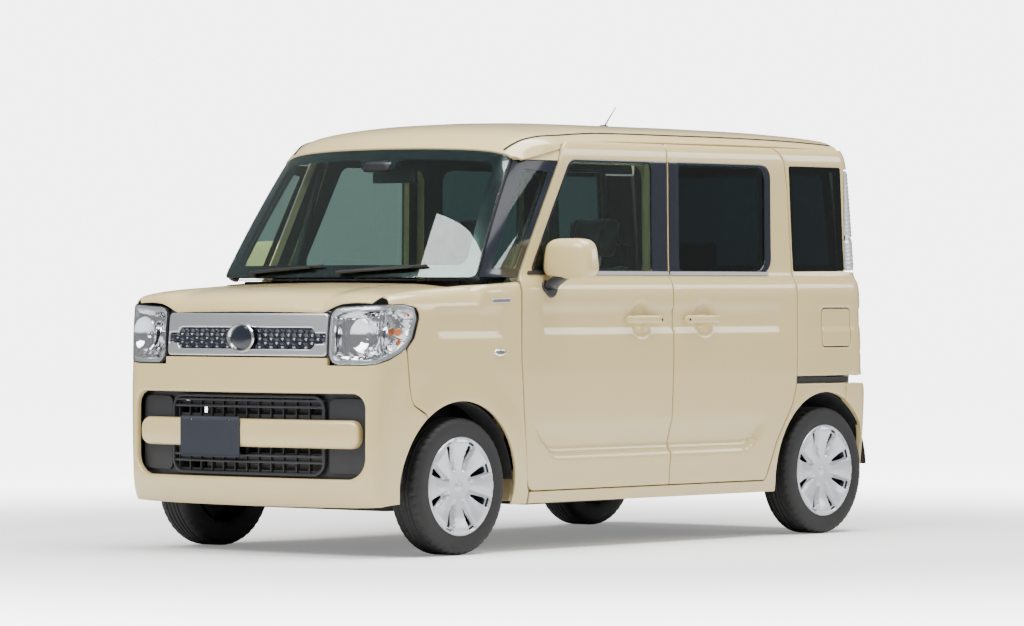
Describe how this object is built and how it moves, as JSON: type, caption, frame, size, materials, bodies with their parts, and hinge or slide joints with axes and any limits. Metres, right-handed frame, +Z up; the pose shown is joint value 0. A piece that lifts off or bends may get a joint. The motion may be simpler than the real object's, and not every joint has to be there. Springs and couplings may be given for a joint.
{
  "type": "kei car",
  "caption": "Boxy two-box city car with sliding rear side doors, hinged front doors, hood, tailgate and fuel lid, steered front wheels and an open cabin with seats.",
  "frame": {"origin": "on the ground under the middle of the car's length and width", "axes": "+Y towards the car's rear along its length, so it faces -Y; +X to the car's left; +Z up"},
  "size_m": [1.8938, 3.3947, 1.8829],
  "materials": {
    "body_paint": "gloss cream paint",
    "underbody": "matt black primer",
    "black_plastic": "grained black plastic",
    "front_glass": "light green tint",
    "dark_glass": "dark privacy tint",
    "bright_trim": "bright satin plating",
    "blank_plate": "blank dark plate",
    "clear_lamp": "clear lamp lens over bright reflectors",
    "cabin_plastic": "grained black plastic",
    "seat_cloth": "charcoal woven cloth",
    "cast_metal": "cast, as machined",
    "bare_steel": "dull steel",
    "tyre_rubber": "black rubber",
    "silver_cover": "silver painted cover"
  },
  "bodies": {
    "body": {"floor_pan": "underbody", "body_side_left": "body_paint", "body_side_right": "body_paint", "roof_panel": "body_paint", "front_fenders": "body_paint", "cowl_panel": "black_plastic", "windscreen": "front_glass", "quarter_glass": "dark_glass", "wheel_liners": "black_plastic", "front_bumper": "body_paint", "grille": "bright_trim", "lower_grille": "black_plastic", "front_plate": "blank_plate", "headlamps": "clear_lamp", "tail_lamps": "clear_lamp", "rear_bumper": "body_paint", "sliding_door_left": "body_paint", "sliding_door_right": "body_paint", "sliding_door_glass": "dark_glass", "slide_rails": "black_plastic", "dashboard": "cabin_plastic", "front_seats": "seat_cloth", "rear_seat": "seat_cloth", "inner_mirror": "cabin_plastic", "wipers": "black_plastic", "aerial": "black_plastic", "engine_block": "cast_metal", "radiator": "black_plastic", "front_suspension": "underbody", "rear_axle": "underbody", "fuel_tank": "underbody", "exhaust": "bare_steel"},
    "hood": {"hood": "body_paint"},
    "front_door_left": {"front_door_left": "body_paint", "front_door_glass_left": "front_glass", "door_mirror_left": "body_paint"},
    "front_door_right": {"front_door_right": "body_paint", "front_door_glass_right": "front_glass", "door_mirror_right": "body_paint"},
    "tailgate": {"tailgate": "body_paint", "tailgate_glass": "dark_glass"},
    "fuel_lid": {"fuel_lid": "body_paint"},
    "steering_wheel": {"steering_wheel": "cabin_plastic"},
    "knuckle_left": {"knuckle_left": "cast_metal"},
    "knuckle_right": {"knuckle_right": "cast_metal"},
    "wheel_front_left": {"tyre_front_left": "tyre_rubber", "wheel_front_left": "silver_cover"},
    "wheel_front_right": {"tyre_front_right": "tyre_rubber", "wheel_front_right": "silver_cover"},
    "wheel_rear_left": {"tyre_rear_left": "tyre_rubber", "wheel_rear_left": "silver_cover"},
    "wheel_rear_right": {"tyre_rear_right": "tyre_rubber", "wheel_rear_right": "silver_cover"}
  },
  "joints": [
    {"name": "hood_hinge", "type": "hinge", "parent": "body", "child": "hood", "pos_m": [0, -1.125, 1.057], "axis": [-1, 0, 0], "range_deg": [0, 50]},
    {"name": "front_door_left_hinge", "type": "hinge", "parent": "body", "child": "front_door_left", "pos_m": [0.712, -0.713, 0.7], "axis": [0, 0, -1], "range_deg": [0, 68]},
    {"name": "front_door_right_hinge", "type": "hinge", "parent": "body", "child": "front_door_right", "pos_m": [-0.712, -0.713, 0.7], "axis": [0, 0, 1], "range_deg": [0, 68]},
    {"name": "tailgate_hinge", "type": "hinge", "parent": "body", "child": "tailgate", "pos_m": [0, 1.54, 1.768], "axis": [1, 0, 0], "range_deg": [0, 80]},
    {"name": "fuel_lid_hinge", "type": "hinge", "parent": "body", "child": "fuel_lid", "pos_m": [0.7281, 1.287, 0.9075], "axis": [0, 0, -1], "range_deg": [0, 80]},
    {"name": "steering_left", "type": "hinge", "parent": "body", "child": "knuckle_left", "pos_m": [0.575, -1.15, 0.209], "axis": [-0.1045, 0, 0.9945], "range_deg": [-33, 33]},
    {"name": "steering_right", "type": "hinge", "parent": "body", "child": "knuckle_right", "pos_m": [-0.575, -1.15, 0.209], "axis": [0.1045, 0, 0.9945], "range_deg": [-33, 33]},
    {"name": "steering_wheel_turn", "type": "hinge", "parent": "body", "child": "steering_wheel", "pos_m": [-0.33, -0.55, 0.985], "axis": [0, 0.9135, 0.4067], "range_deg": [-480, 480]},
    {"name": "wheel_front_left_spin", "type": "hinge", "parent": "knuckle_left", "child": "wheel_front_left", "pos_m": [0.6475, -1.15, 0.2785], "axis": [1, 0, 0], "continuous": true},
    {"name": "wheel_front_right_spin", "type": "hinge", "parent": "knuckle_right", "child": "wheel_front_right", "pos_m": [-0.6475, -1.15, 0.2785], "axis": [1, 0, 0], "continuous": true},
    {"name": "wheel_rear_left_spin", "type": "hinge", "parent": "body", "child": "wheel_rear_left", "pos_m": [0.6475, 1.31, 0.2785], "axis": [1, 0, 0], "continuous": true},
    {"name": "wheel_rear_right_spin", "type": "hinge", "parent": "body", "child": "wheel_rear_right", "pos_m": [-0.6475, 1.31, 0.2785], "axis": [1, 0, 0], "continuous": true}
  ],
  "couplings": [
    {"joint": "steering_right", "follows": "steering_left", "ratio": 1},
    {"joint": "steering_wheel_turn", "follows": "steering_left", "ratio": 14.5}
  ]
}
